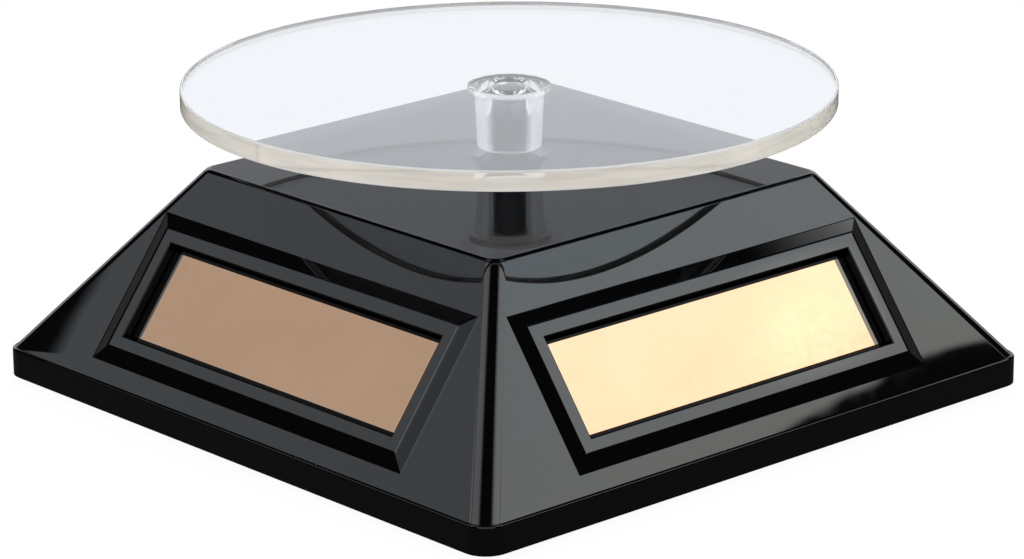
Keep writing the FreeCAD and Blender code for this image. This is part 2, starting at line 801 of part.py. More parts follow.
def contact_negative():
    """Sheet contact with a bowed spring leaf, against the bay's -X end."""
    x = -bay_length / 2
    y = bay_centre_y()
    z = bay_floor_z + contact_lift
    sheet = block(contact_thickness, contact_width, contact_height, x + contact_thickness / 2, y, z)
    low = vec(x, 0, z)
    high = vec(x, 0, z + contact_height)
    leaf_edges = []
    for depth, inset in ((bow_depth, 0.0), (bow_depth - contact_thickness, contact_thickness)):
        start = low + vec(0, 0, inset)
        end = high - vec(0, 0, inset)
        leaf_edges.append((start, Part.Arc(start, (low + high) / 2 + vec(depth, 0, 0), end).toShape(), end))
    (outer_low, outer_arc, outer_high), (inner_low, inner_arc, inner_high) = leaf_edges
    top_edge = Part.LineSegment(outer_high, inner_high).toShape()
    low_edge = Part.LineSegment(inner_low, outer_low).toShape()
    outline = Part.Wire(Part.__sortEdges__([outer_arc, top_edge, inner_arc, low_edge]))
    leaf = Part.Face(outline).extrude(vec(0, contact_width, 0))
    leaf.translate(vec(0, y - contact_width / 2, 0))
    return joined(sheet, [leaf])


def switch_body():
    """Slide switch housing on the cover, with a slot below for the knob's stem."""
    y = switch_centre_y()
    body = block(switch_length, switch_width, switch_height, 0, y, floor_z)
    slot_length = knob_stem_length + switch_travel + 2 * slide_fit
    slot = block(slot_length, knob_stem_width + 2 * slide_fit, switch_slot_depth, 0, y, floor_z)
    return body.cut(slot)


def switch_pins():
    """Solder pins on top of the slide switch."""
    pins = []
    for index in range(pin_count):
        x = (index - (pin_count - 1) / 2) * pin_pitch
        pins.append(block(pin_size, pin_size, pin_length, x, switch_centre_y(), floor_z + switch_height))
    return pins


def switch_knob():
    """Sliding knob in its off place, towards -X."""
    x = -switch_travel / 2
    y = switch_centre_y()
    tip_z = skirt_z + knob_tip_clearance
    cap = block(knob_length, knob_width, knob_thickness, x, y, tip_z)
    stem_top = floor_z + switch_slot_depth - slide_fit
    stem = block(knob_stem_length, knob_stem_width, stem_top - tip_z, x, y, tip_z)
    return joined(cap, [stem])


def main():
    """Build every node and write it."""
    os.makedirs("parts", exist_ok=True)
    save("base_shell", base_shell())
    for turn, name in enumerate(FACES):
        save("solar_panel_" + name, on_face(solar_panel(), turn))
    save("bottom_cover", bottom_cover())
    save("battery_door", battery_door())
    screws = []
    for name, (sign_x, sign_y) in CORNERS.items():
        x = sign_x * pillar_offset
        y = sign_y * pillar_offset
        save("rubber_foot_" + name, rubber_foot(x, y))
        screws.append(pan_screw(cover_screw_diameter, cover_screw_length, cover_screw_head_diameter,
                                cover_screw_head_height, x, y, cover_screw_seat_z(), True))
    save("cover_screws", *screws)
    save("turntable_disc", turntable_disc())
    save("turntable_hub", turntable_hub())
    save("drive_spindle", drive_spindle())
    save("spindle_bush", spindle_bush())
    save("output_gear", output_gear())
    save("first_reduction_gear", reduction_gear(1))
    save("second_reduction_gear", reduction_gear(2))
    save("first_gear_axle", gear_axle(1))
    save("second_gear_axle", gear_axle(2))
    save("gearbox_lower_plate", gearbox_lower_plate())
    save("gearbox_upper_plate", gearbox_upper_plate())
    grip = hanger_z - lower_plate_z + gearbox_screw_grip
    screws = [pan_screw(gearbox_screw_diameter, grip, gearbox_screw_head_diameter, gearbox_screw_head_height,
                        x, y, lower_plate_z, True) for x, y in post_places()]
    save("gearbox_screws", *screws)
    save("motor_can", motor_can())
    save("motor_end_cap", motor_end_cap())
    save("motor_terminals", *motor_terminals())
    save("motor_shaft", motor_shaft())
    save("motor_pinion", motor_pinion())
    grip = gearbox_plate_thickness + motor_screw_grip
    screws = [pan_screw(motor_screw_diameter, grip, motor_screw_head_diameter, motor_screw_head_height,
                        x, y, train_z, False) for x, y in motor_screw_places()]
    save("motor_screws", *screws)
    save("battery_contact_positive", contact_positive())
    save("battery_contact_negative", contact_negative())
    save("switch_body", switch_body())
    save("switch_pins", *switch_pins())
    save("switch_knob", switch_knob())


main()
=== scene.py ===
"""Looks of a solar turntable for showing jewellery: finishes, shaped meshes, studio and camera."""

import logging
import math
from collections.abc import Sequence
from dataclasses import dataclass, field, fields
from enum import Enum

import bmesh
import bpy
from bmesh.types import BMesh, BMVert
from bpy.types import ID, Material, Node, NodeSocket as Socket, Object, World
from mathutils import Matrix, Vector


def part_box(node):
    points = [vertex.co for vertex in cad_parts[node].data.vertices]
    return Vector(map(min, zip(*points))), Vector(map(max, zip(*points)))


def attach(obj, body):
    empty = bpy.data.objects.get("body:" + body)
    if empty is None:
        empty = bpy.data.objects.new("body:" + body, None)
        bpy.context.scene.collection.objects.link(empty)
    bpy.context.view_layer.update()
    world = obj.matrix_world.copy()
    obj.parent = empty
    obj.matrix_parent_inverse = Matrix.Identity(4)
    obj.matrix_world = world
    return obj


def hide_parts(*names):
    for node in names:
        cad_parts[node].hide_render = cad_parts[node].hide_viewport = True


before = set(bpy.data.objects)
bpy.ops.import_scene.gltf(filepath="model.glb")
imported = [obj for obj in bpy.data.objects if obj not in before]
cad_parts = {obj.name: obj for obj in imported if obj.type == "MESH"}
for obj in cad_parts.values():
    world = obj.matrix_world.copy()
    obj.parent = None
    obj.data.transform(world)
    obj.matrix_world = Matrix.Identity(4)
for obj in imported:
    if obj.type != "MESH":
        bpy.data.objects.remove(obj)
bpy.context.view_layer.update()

log = logging.getLogger("turntable")

MM = 0.001
Colour = tuple[float, float, float]
Point = tuple[float, float]
Profile = list[Point]
# Half side, corner radius and height of a level square
Level = tuple[float, float, float]
Loop = list[BMVert]
Feed = Socket | float | Colour

WHITE: Colour = (1.0, 1.0, 1.0)
# Places of a Mix node's first colour and of its result, where names repeat
MIX_COLOURS, MIX_RESULT = 6, 2
# Range that holds most of a noise
NOISE_MIDDLE: Point = (0.3, 0.7)
# Agreement of the rounded and the plain normal on flats and along edges
FLAT_TO_EDGE: Point = (0.98, 0.8)
EDGE_SAMPLES = 6
# Degrees from which an edge stays crisp, and the lead of large faces in smooth shading
SHARP_ANGLE, FLAT_WEIGHT = 25.0, 100


class Body(Enum):
    """Bodies of the frame that pieces ride on."""

    BASE = "base"
    TURNTABLE = "turntable"


class Side(Enum):
    """Sloped faces of the base, by the quarter turns that bring the front face to them."""

    FRONT = 0
    RIGHT = 1
    BACK = 2
    LEFT = 3

    def turn(self) -> Matrix:
        """Rotation that brings the front face to this one."""
        return Matrix.Rotation(math.pi / 2 * self.value, 4, "Z")


class NodeSheet:
    """Node tree of a material or of the surroundings, with short ways to add and join nodes."""

    def __init__(self, name: str, world: bool = False) -> None:
        """Make a material or world with an empty tree.

        Args:
            name: Its name.
            world: Whether it is a world.
        """
        self.owner = (bpy.data.worlds if world else bpy.data.materials).new(name)
        self.owner.use_nodes = True
        self.tree = self.owner.node_tree
        self.tree.nodes.clear()
        self.output = self.add("OutputWorld" if world else "OutputMaterial")

    def add(self, kind: str, **values: object) -> Node:
        """Add a node and set its properties and sockets.

        Args:
            kind: Blender's name of the node's type, without ShaderNode before it.
            values: Property values, or what goes to sockets, with spaces written as underscores.

        Returns:
            The new node.
        """
        node = self.tree.nodes.new("ShaderNode" + kind)
        for key, value in values.items():
            if hasattr(node, key):
                setattr(node, key, value)
            else:
                self.join(value, node.inputs[key.replace("_", " ")])
        return node

    def join(self, source: Feed, target: Socket) -> None:
        """Link one socket to another, or set a plain value on it.

        Args:
            source: Socket, number or colour.
            target: Socket that takes it.
        """
        if isinstance(source, Socket):
            self.tree.links.new(source, target)
        else:
            target.default_value = (*source, 1.0) if target.type == "RGBA" else source

    def place(self) -> Socket:
        """Socket with the point's place in its own object, in metres."""
        return self.add("TexCoord").outputs["Object"]

    def axes(self, place: Socket) -> tuple[Socket, ...]:
        """Sockets with the three parts of a place or direction."""
        return tuple(self.add("SeparateXYZ", Vector=place).outputs)

    def behind(self) -> Socket:
        """Socket that is 1 where a surface is met from behind."""
        return self.add("NewGeometry").outputs["Backfacing"]

    def feed(self, node: Node, start: int, *sources: Feed) -> Node:
        """Join sources to a node's inputs in their order.

        Args:
            node: Node that takes them.
            start: Place of the first input.
            sources: Sockets, numbers or colours.

        Returns:
            The same node.
        """
        for place, source in enumerate(sources, start):
            self.join(source, node.inputs[place])
        return node

    def number(self, operation: str, *numbers: Feed, clamp: bool = False) -> Socket:
        """Socket with what a Math node makes of numbers, kept from 0 to 1 where it is clamped."""
        node = self.add("Math", operation=operation, use_clamp=clamp)
        return self.feed(node, 0, *numbers).outputs["Value"]

    def vector(self, operation: str, *vectors: Feed) -> Node:
        """Node that works with vectors, with its result in the output Vector or Value."""
        return self.feed(self.add("VectorMath", operation=operation), 0, *vectors)

    def ranged(self, value: Socket, given: Point, wanted: Point = (0.0, 1.0),
               smooth: bool = False) -> Socket:
        """Turn one range of values into another and hold its ends.

        Args:
            value: Socket with the value.
            given: Ends of the range that it has.
            wanted: What these ends become.
            smooth: Whether the change is eased at both ends.

        Returns:
            Socket with the new value.
        """
        node = self.add("MapRange", Value=value, From_Min=given[0], From_Max=given[1],
                        To_Min=wanted[0], To_Max=wanted[1],
                        interpolation_type="SMOOTHSTEP" if smooth else "LINEAR")
        return node.outputs["Result"]

    def noise(self, size: float, detail: float = 2.0, stretch: Colour = WHITE) -> Socket:
        """Soft noise over the object's own space.

        Args:
            size: Size of one patch in millimetres.
            detail: How many finer layers the noise has.
            stretch: Scale along x, y and z, smaller where the patches are long.

        Returns:
            Socket with values about 0.5.
        """
        mapping = self.add("Mapping", Vector=self.place(), Scale=stretch)
        noise = self.add("TexNoise", Vector=mapping.outputs["Vector"],
                         Scale=1.0 / (size * MM), Detail=detail)
        return noise.outputs["Fac"]

    def spread(self, noise: Socket, wanted: Point) -> Socket:
        """Stretch the middle of a noise over a range of values."""
        return self.ranged(noise, NOISE_MIDDLE, wanted)

    def ramp(self, value: Socket, places: Sequence[float],
             colours: Sequence[Colour]) -> Socket:
        """Colours along a value.

        Args:
            value: Socket that chooses the colour.
            places: Places from 0 to 1.
            colours: Colours at these places.

        Returns:
            Socket with the colour.
        """
        node = self.add("ValToRGB", Fac=value)
        elements = node.color_ramp.elements
        while len(elements) < len(places):
            elements.new(1.0)
        for element, place, colour in zip(elements, places, colours):
            element.position = place
            element.color = (*colour, 1.0)
        return node.outputs["Color"]

    def blend(self, share: Socket, first: Feed, second: Feed) -> Socket:
        """Socket with a colour that goes from the first to the second as the share goes to 1."""
        mix = self.add("Mix", data_type="RGBA", Factor=share)
        return self.feed(mix, MIX_COLOURS, first, second).outputs[MIX_RESULT]

    def layer(self, share: Feed, below: Node, above: Node) -> Node:
        """Shader with a share of the upper one laid over the lower one."""
        mix = self.add("MixShader", Fac=share)
        return self.feed(mix, 1, below.outputs[0], above.outputs[0])

    def bump(self, height: Socket, depth: float, strength: float,
             under: Socket | None = None) -> Socket:
        """Surface relief.

        Args:
            height: Socket with the height, from 0 to 1.
            depth: Depth of the relief in millimetres.
            strength: Share of the relief that shows.
            under: Socket with the normal that the relief lies on, where it isn't the plain one.

        Returns:
            Socket with the bent normal.
        """
        node = self.add("Bump", Strength=strength, Distance=depth * MM, Height=height)
        if under is not None:
            self.join(under, node.inputs["Normal"])
        return node.outputs["Normal"]

    def rounded_edges(self, radius: float) -> tuple[Socket, Socket]:
        """Soften edges and find where they are.

        Args:
            radius: Radius of the rounding in millimetres.

        Returns:
            Socket with the rounded normal, and one that goes from 0 on flats to 1 along edges.
        """
        bevel = self.add("Bevel", samples=EDGE_SAMPLES, Radius=radius * MM)
        rounded = bevel.outputs["Normal"]
        plain = self.add("NewGeometry").outputs["Normal"]
        agreement = self.vector("DOT_PRODUCT", rounded, plain).outputs["Value"]
        return rounded, self.ranged(agreement, FLAT_TO_EDGE)

    def finish(self, shader: Node) -> Material | World:
        """Join the shader to the output and return what the tree belongs to."""
        self.join(shader.outputs[0], self.output.inputs["Surface"])
        return self.owner


def scaled(colour: Colour, gain: float, lift: float = 0.0, most: float = 1.0) -> Colour:
    """Colour made darker or lighter, with no part over the most given."""
    return tuple(min(most, gain * part + lift) for part in colour)


@dataclass(frozen=True)
class Moulding:
    """Moulded plastic or rubber: faint patches of colour, a fine skin and paler edges, part worn
    and part painted highlight.
    """

    name: str
    colour: Colour
    roughness: Point
    grain_and_depth: Point
    grain_share: float = 0.5
    edge: float = 0.25
    # Lightening of the edges' colour and its top: part worn edge, part painted highlight
    rubbed_and_highlit: float = 1.8
    most_rubbed_and_highlit: float = 0.95
    patch: float = 9.0
    patch_range: Point = (0.35, 0.65)
    patch_gain: float = 1.12
    patch_lift: float = 0.001
    ior: float = 1.5

    def material(self) -> Material:
        """Build the node material.

        Returns:
            The material.
        """
        sheet = NodeSheet(self.name)
        light = scaled(self.colour, self.patch_gain, self.patch_lift)
        patches = sheet.ramp(sheet.noise(self.patch), self.patch_range, (self.colour, light))
        # Edges paler in colour: part worn edge, part painted highlight along them
        rounded, wear_and_highlight = sheet.rounded_edges(self.edge)
        pale = scaled(self.colour, self.rubbed_and_highlit, most=self.most_rubbed_and_highlit)
        grain, depth = self.grain_and_depth
        skin = sheet.noise(grain, detail=3.0)
        return sheet.finish(sheet.add(
            "BsdfPrincipled", IOR=self.ior, Base_Color=sheet.blend(wear_and_highlight, patches, pale),
            Roughness=sheet.spread(skin, self.roughness),
            Normal=sheet.bump(skin, depth, self.grain_share, rounded)))


@dataclass(frozen=True)
class Polish:
    """Polished black moulding with a slight wave from the mould and fine dust marks."""

    name: str
    shine: float = 0.5
    colour: Colour = (0.0012, 0.0012, 0.0015)
    roughness: Point = (0.01, 0.025)
    smear: float = 3.0
    dust: float = 0.35
    dust_range: Point = (0.45, 0.8)
    dust_gain: float = 2.0
    wave: float = 14.0
    wave_depth: float = 0.012
    ior: float = 1.5

    def material(self) -> Material:
        """Build the node material.

        Returns:
            The material.
        """
        sheet = NodeSheet(self.name)
        dust = sheet.noise(self.dust, detail=4.0)
        tones = (self.colour, scaled(self.colour, self.dust_gain))
        wave = sheet.noise(self.wave, detail=1.0)
        return sheet.finish(sheet.add(
            "BsdfPrincipled", IOR=self.ior, Specular_IOR_Level=self.shine,
            Base_Color=sheet.ramp(dust, self.dust_range, tones),
            Roughness=sheet.spread(sheet.noise(self.smear, detail=4.0), self.roughness),
            Normal=sheet.bump(wave, self.wave_depth, 1.0)))


@dataclass(frozen=True)
class Acrylic:
    """Clear polished acrylic, faintly blue through the face, warm at the sawn rim, with painted
    glow on the hub.
    """

    name: str
    hub_bottom: float
    hub_top: float = 42.1
    hub_radius: float = 5.2
    # Painted glow of the hub's wall: its share, the height of the painted highlight band at its
    # lower end, and the facing over which the flank glow grows
    hub_haze: float = 0.85
    hub_end: float = 0.6
    glow_facing: Point = (0.1, 0.35)
    rim_radius: float = 47.25
    rim_tint: Colour = (0.9, 0.855, 0.775)
    rim_clear: float = 0.45
    rim_roughness: float = 0.05
    sawn_depth: Point = (0.06, 0.03)
    saw_mark: float = 0.9
    saw_stretch: Colour = (0.08, 0.08, 1.0)
    saw_range: Point = (0.35, 0.62)
    saw_shade: float = 0.86
    edge_width: float = 0.36
    edge_clear: float = 0.4
    edge_places: tuple[float, ...] = (0.0, 0.15, 0.84, 0.92)
    face_tint: Colour = (0.955, 0.975, 1.0)
    ior: float = 1.49

    def material(self) -> Material:
        """Build the node material.

        Returns:
            The material.
        """
        sheet = NodeSheet(self.name)
        flat = sheet.vector("MULTIPLY", sheet.place(), (1.0, 1.0, 0.0)).outputs["Vector"]
        radius = sheet.vector("LENGTH", flat).outputs["Value"]
        reach = self.rim_radius * MM
        sawn_face = sheet.ranged(radius, tuple(reach - depth * MM for depth in self.sawn_depth))
        # Rounded edges by the rim are partly matte and pale: part frosted edge, part painted
        # highlight line along them
        ring = sheet.ranged(radius, (reach - self.edge_width * MM, reach))
        levels = (1.0, self.edge_clear, self.edge_clear, self.rim_clear)
        clear = sheet.ramp(ring, self.edge_places, [(level,) * 3 for level in levels])
        marks = sheet.noise(self.saw_mark, stretch=self.saw_stretch)
        tones = (scaled(self.rim_tint, self.saw_shade), self.rim_tint)
        sawn = sheet.ramp(marks, self.saw_range, tones)
        return sheet.finish(sheet.add(
            "BsdfPrincipled", IOR=self.ior,
            Base_Color=sheet.blend(sawn_face, self.face_tint, sawn),
            Roughness=sheet.ranged(sawn_face, (0.0, 1.0), (0.0, self.rim_roughness)),
            Transmission_Weight=sheet.number("SUBTRACT", clear, self.painted_glow(sheet, radius))))

    def painted_glow(self, sheet: NodeSheet, radius: Socket) -> Socket:
        """Matte share of the hub's moulded wall, as painted glow: strongest where the wall is seen
        on edge, with a painted highlight line along its lower end.

        Args:
            sheet: Node tree to add to.
            radius: Socket with the distance from the turning axis, in metres.

        Returns:
            Socket with the share from 0 to 1, which is 0 for rays inside the clear body.
        """
        height = sheet.axes(sheet.place())[2]
        # Painted glow on the flanks, standing in for light that the acrylic carries there
        facing = sheet.add("LayerWeight", Blend=0.5).outputs["Facing"]
        wall = sheet.ranged(facing, self.glow_facing, (0.0, self.hub_haze), smooth=True)
        # Painted highlight line along the hub's lower end
        end_range = (self.hub_bottom * MM, (self.hub_bottom + self.hub_end) * MM)
        end = sheet.ranged(height, end_range, (self.hub_haze, 0.0))
        flank_and_end_glow = sheet.number("MAXIMUM", wall, end)
        share = sheet.number("SUBTRACT", flank_and_end_glow, sheet.behind(), clamp=True)
        for socket, limit in ((height, self.hub_top), (radius, self.hub_radius)):
            share = sheet.number("MULTIPLY", share, sheet.number("LESS_THAN", socket, limit * MM))
        return share


@dataclass(frozen=True)
class SolarFilm:
    """Thin-film cell behind glass: a bronze mirror with a grey end strip and dark long borders."""

    name: str
    film_half: float = 27.5
    strip_half: float = 29.2
    border_half: float = 6.8
    film: Colour = (0.475, 0.29, 0.18)
    film_light: Colour = (0.495, 0.305, 0.195)
    strip: Colour = (0.092, 0.086, 0.082)
    border: Colour = (0.006, 0.0055, 0.0055)
    cloud: float = 11.0
    cloud_range: Point = (0.35, 0.65)
    smear: float = 1.2
    roughness: Point = (0.05, 0.08)

    def material(self) -> Material:
        """Build the node material, with the strip at the panel's left end only.

        Returns:
            The material.
        """
        sheet = NodeSheet(self.name)
        clouds = sheet.noise(self.cloud, detail=3.0)
        colour = sheet.ramp(clouds, self.cloud_range, (self.film, self.film_light))
        left, up, _ = sheet.axes(sheet.place())
        across = sheet.number("ABSOLUTE", up)
        for place, test, edge, paint in ((left, "LESS_THAN", -self.film_half, self.strip),
                                         (left, "LESS_THAN", -self.strip_half, self.border),
                                         (across, "GREATER_THAN", self.border_half, self.border)):
            colour = sheet.blend(sheet.number(test, place, edge * MM), colour, paint)
        smears = sheet.noise(self.smear, detail=3.0)
        return sheet.finish(sheet.add(
            "BsdfPrincipled", Metallic=1.0, Base_Color=colour,
            Roughness=sheet.spread(smears, self.roughness)))


@dataclass(frozen=True)
class Metal:
    """Plain metal with fine drawn lines, dull flats and brighter edges, part worn and part painted
    highlight.
    """

    name: str
    colour: Colour
    roughness: Point = (0.22, 0.38)
    edge: float = 0.12
    rubbed_and_highlit: float = 1.2
    line: float = 0.3
    line_stretch: Colour = (1.0, 1.0, 0.05)
    line_range: Point = (0.3, 0.7)
    line_shade: float = 0.82
    line_depth: float = 0.004
    line_share: float = 0.4

    def material(self) -> Material:
        """Build the node material.

        Returns:
            The material.
        """
        sheet = NodeSheet(self.name)
        lines = sheet.noise(self.line, stretch=self.line_stretch)
        tones = (scaled(self.colour, self.line_shade), self.colour)
        drawn = sheet.ramp(lines, self.line_range, tones)
        # Edges brighter in colour: part worn edge, part painted highlight along them
        rounded, wear_and_highlight = sheet.rounded_edges(self.edge)
        return sheet.finish(sheet.add(
            "BsdfPrincipled", Metallic=1.0,
            Base_Color=sheet.blend(wear_and_highlight, drawn, scaled(self.colour, self.rubbed_and_highlit)),
            Roughness=sheet.spread(lines, self.roughness),
            Normal=sheet.bump(lines, self.line_depth, self.line_share, rounded)))


# A finish with the frame nodes that take it
Dressing = tuple[Moulding | Polish | Metal, tuple[str, ...]]


def set_down(name: str, data: ID, place: Matrix) -> Object:
    """Put a new object into the scene.

    Args:
        name: Name of the object.
        data: Its mesh, lamp or camera.
        place: Its place in the part's frame.

    Returns:
        The object.
    """
    thing = bpy.data.objects.new(name, data)
    thing.matrix_world = place
    bpy.context.scene.collection.objects.link(thing)
    return thing


def mesh_piece(name: str, shape: BMesh, body: Body, paint: Material,
               place: Matrix = Matrix.Identity(4)) -> Object:
    """Turn a mesh in millimetres into a shaded piece that rides on a body.

    Args:
        name: Name of the piece.
        shape: Mesh in millimetres, freed here.
        body: Body that carries it.
        paint: First material of the piece.
        place: Its place in the part's frame, in metres.

    Returns:
        The new object.
    """
    bmesh.ops.recalc_face_normals(shape, faces=shape.faces[:])
    shape.transform(Matrix.Scale(MM, 4))
    mesh = bpy.data.meshes.new(name)
    shape.to_mesh(mesh)
    shape.free()
    mesh.materials.append(paint)
    piece = set_down(name, mesh, place)
    even_shading(piece)
    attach(piece, body.value)
    return piece


def even_shading(piece: Object) -> None:
    """Shade smoothly over roundings and keep flat faces flat.

    Args:
        piece: Object to shade.
    """
    sharp = {edge.index for edge in piece.data.edges if edge.use_edge_sharp}
    piece.data.shade_smooth()
    piece.data.set_sharp_from_angle(angle=math.radians(SHARP_ANGLE))
    for index in sharp:
        piece.data.edges[index].use_edge_sharp = True
    weights = piece.modifiers.new("even_shading", "WEIGHTED_NORMAL")
    weights.keep_sharp = True
    weights.weight = FLAT_WEIGHT


def arc(centre: Point, radius: float, start: float, end: float, steps: int) -> Profile:
    """Points along a flat arc.

    Args:
        centre: Middle of the arc.
        radius: Its radius.
        start: First angle in degrees.
        end: Last angle in degrees.
        steps: Number of steps between them.

    Returns:
        The points, both ends included.
    """
    angles = [math.radians(start + (end - start) * step / steps) for step in range(steps + 1)]
    return [(centre[0] + radius * math.cos(a), centre[1] + radius * math.sin(a)) for a in angles]


def circle(radius: float, steps: int) -> Profile:
    """Points round a circle about the axis."""
    turns = [2 * math.pi * step / steps for step in range(steps)]
    return [(radius * math.cos(turn), radius * math.sin(turn)) for turn in turns]


def rectangle(across: Point, upward: Point) -> Profile:
    """Corners of a rectangle between two x and two y, anticlockwise from the lower left."""
    (left, right), (low, high) = across, upward
    return [(left, low), (right, low), (right, high), (left, high)]


def band(shape: BMesh, lower: Loop, upper: Loop, gap: int = 0) -> None:
    """Add the faces between two closed loops.

    Args:
        shape: Mesh to add to.
        lower: First loop.
        upper: Second loop, of the same length.
        gap: Steps from one face that is left open to the next, or 0 for none.
    """
    for index in range(len(lower)):
        after = (index + 1) % len(lower)
        if not gap or after % gap:
            corners = [lower[index], lower[after], upper[after], upper[index]]
            shape.faces.new(list(dict.fromkeys(corners)))


def turned(profile: Profile, steps: int) -> BMesh:
    """Closed mesh turned about the Z axis.

    Args:
        profile: Points (radius, z) from one end of the axis to the other.
        steps: Number of steps round the axis.

    Returns:
        The mesh.
    """
    shape = bmesh.new()
    loops: list[Loop] = []
    for radius, z in profile:
        if radius:
            loops.append([shape.verts.new((x, y, z)) for x, y in circle(radius, steps)])
        else:
            loops.append([shape.verts.new((0.0, 0.0, z))] * steps)
    for lower, upper in zip(loops, loops[1:]):
        band(shape, lower, upper)
    return shape


@dataclass
class Housing:
    """Gloss black pyramid with skirt, four framed windows and flat top. Sizes in millimetres."""

    paint: Material
    top_paint: Material
    skirt_height: float = 4.2
    skirt_corner: float = 3.6
    skirt_step: float = 0.5
    skirt_edge: float = 0.4
    top_side: float = 63.4
    ridge_radius: float = 2.2
    top_edge: float = 1.0
    wall: float = 2.2
    top_thickness: float = 2.4
    inner_corner: float = 1.0
    floor_level: float = 3.6
    window: Point = (59.1, 15.0)
    window_up_slope: float = 14.7
    land: float = 2.1
    bevel: float = 2.2
    rise: float = 0.5
    foot_radius: float = 1.2
    crease_radius: float = 2.4
    lip_radius: float = 0.25
    bush_hole: float = 3.52
    corner_steps: int = 8
    edge_steps: int = 4
    top_steps: int = 5
    frame_steps: int = 6
    hole_steps: int = 64
    low: Vector = field(default_factory=lambda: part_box("base_shell")[0] / MM)
    high: Vector = field(default_factory=lambda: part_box("base_shell")[1] / MM)

    def __post_init__(self) -> None:
        """Work out the levels and the slope of the faces."""
        self.half: float = self.high.x
        self.foot_half: float = self.half - self.skirt_step
        self.slope_z: float = self.low.z + self.skirt_height
        self.ceiling: float = self.high.z - self.top_thickness
        run = self.foot_half - self.top_side / 2
        self.angle: float = math.atan2(self.high.z - self.slope_z, run)

    def on_face(self, side: Side, along: float, up: float, out: float) -> Vector:
        """Point given on a sloped face.

        Args:
            side: The face.
            along: Distance along the face from its middle.
            up: Distance up the slope.
            out: Distance out of the face.

        Returns:
            The point in the part's frame, in millimetres.
        """
        inward = up * math.cos(self.angle) - out * math.sin(self.angle)
        height = up * math.sin(self.angle) + out * math.cos(self.angle)
        return side.turn() @ Vector((along, inward - self.foot_half, self.slope_z + height))

    def inner_half(self, z: float) -> float:
        """Half the width of the hollow at a height."""
        outer = self.foot_half - (z - self.slope_z) / math.tan(self.angle)
        return outer - self.wall / math.sin(self.angle)

    def loop(self, shape: BMesh, level: Level) -> Loop:
        """Level loop of a square with round corners, from the front right corner anticlockwise.

        Args:
            shape: Mesh to add to.
            level: Size and height of the square.

        Returns:
            The loop's points.
        """
        half, corner, z = level
        rounding = arc((half - corner, corner - half), corner, -90, 0, self.corner_steps)
        return [shape.verts.new(side.turn() @ Vector((*point, z)))
                for side in Side for point in rounding]

    def skirt(self) -> list[Level]:
        """Levels of the skirt.

        Returns:
            The levels, from the bottom edge to the foot of the slopes.
        """
        edge = self.skirt_edge
        rounding = arc((self.half - edge, self.slope_z - edge), edge, 0, 90, self.edge_steps)
        outline = [(self.half, self.low.z), *rounding, (self.foot_half, self.slope_z)]
        return [(half, self.skirt_corner - (self.half - half), z) for half, z in outline]

    def crown(self) -> list[Level]:
        """Levels of the rounding between slopes and top, whose corners carry the ridges on.

        Returns:
            The levels, from the slopes to the top.
        """
        top_half = self.top_side / 2
        reach = self.top_edge * math.tan(self.angle / 2)
        middle = (top_half - reach, self.high.z - self.top_edge)
        slant = 90 - math.degrees(self.angle)
        top_centre = top_half - self.ridge_radius
        share = reach * math.sin(self.angle) / (self.high.z - self.slope_z)
        shift = share * (self.half - self.skirt_corner - top_centre)
        rounding = arc(middle, self.top_edge, slant, 90, self.top_steps)
        return [(half, half - (top_centre + shift * (1 - step / self.top_steps)), z)
                for step, (half, z) in enumerate(rounding)]

    def hollow(self) -> list[Level]:
        """Levels of the inside.

        Returns:
            The levels of the cover's pocket, those of the throat above it and that of the roof.
        """
        pocket = (self.half - self.wall, self.skirt_corner - self.wall)
        throat = (self.inner_half(self.slope_z), self.inner_corner)
        roof = (self.inner_half(self.ceiling), self.inner_corner)
        return [(*pocket, self.low.z), (*pocket, self.floor_level), (*throat, self.floor_level),
                (*throat, self.slope_z), (*roof, self.ceiling)]

    def window_corners(self, margin: float) -> Profile:
        """Corners of a window grown by a margin, about its own middle."""
        half_x, half_y = (length / 2 + margin for length in self.window)
        return rectangle((-half_x, half_x), (-half_y, half_y))

    def frame_section(self) -> Profile:
        """Section of a window frame.

        Returns:
            Points (margin round the window, height) from the frame's foot to the panel.
        """
        tilt = math.atan2(self.rise, self.bevel)
        half_turn = math.tan(tilt / 2)
        degrees = math.degrees(tilt)
        foot = (self.land + self.bevel + self.foot_radius * half_turn, self.foot_radius)
        crease = (self.land - self.crease_radius * half_turn, self.rise - self.crease_radius)
        lip = (self.lip_radius, self.rise - self.lip_radius)
        points = arc(foot, self.foot_radius, -90, -90 - degrees, self.frame_steps)
        points += arc(crease, self.crease_radius, 90 - degrees, 90, self.frame_steps)
        points += arc(lip, self.lip_radius, 90, 180, self.edge_steps)
        points.append((0.0, -self.wall))
        return points

    def face_corners(self, lower: Loop, upper: Loop, side: Side) -> Loop:
        """Four corners of one sloped face between two loops, anticlockwise from its lower left."""
        first = side.value * (self.corner_steps + 1)
        return [lower[first - 1], lower[first], upper[first], upper[first - 1]]

    def framed_face(self, shape: BMesh, side: Side, outer: Loop, inner: Loop) -> None:
        """Add a sloped face with its window frame, with crisp mitres.

        Args:
            shape: Mesh to add to.
            side: The face.
            outer: Its four corners outside.
            inner: Its four corners inside.
        """
        rings = [outer]
        for margin, height in self.frame_section():
            points = [self.on_face(side, x, self.window_up_slope + y, height)
                      for x, y in self.window_corners(margin)]
            rings.append([shape.verts.new(point) for point in points])
        rings.append(inner)
        for near, far in zip(rings, rings[1:]):
            band(shape, near, far)
            for ends in zip(near, far):
                shape.edges.get(ends).smooth = False

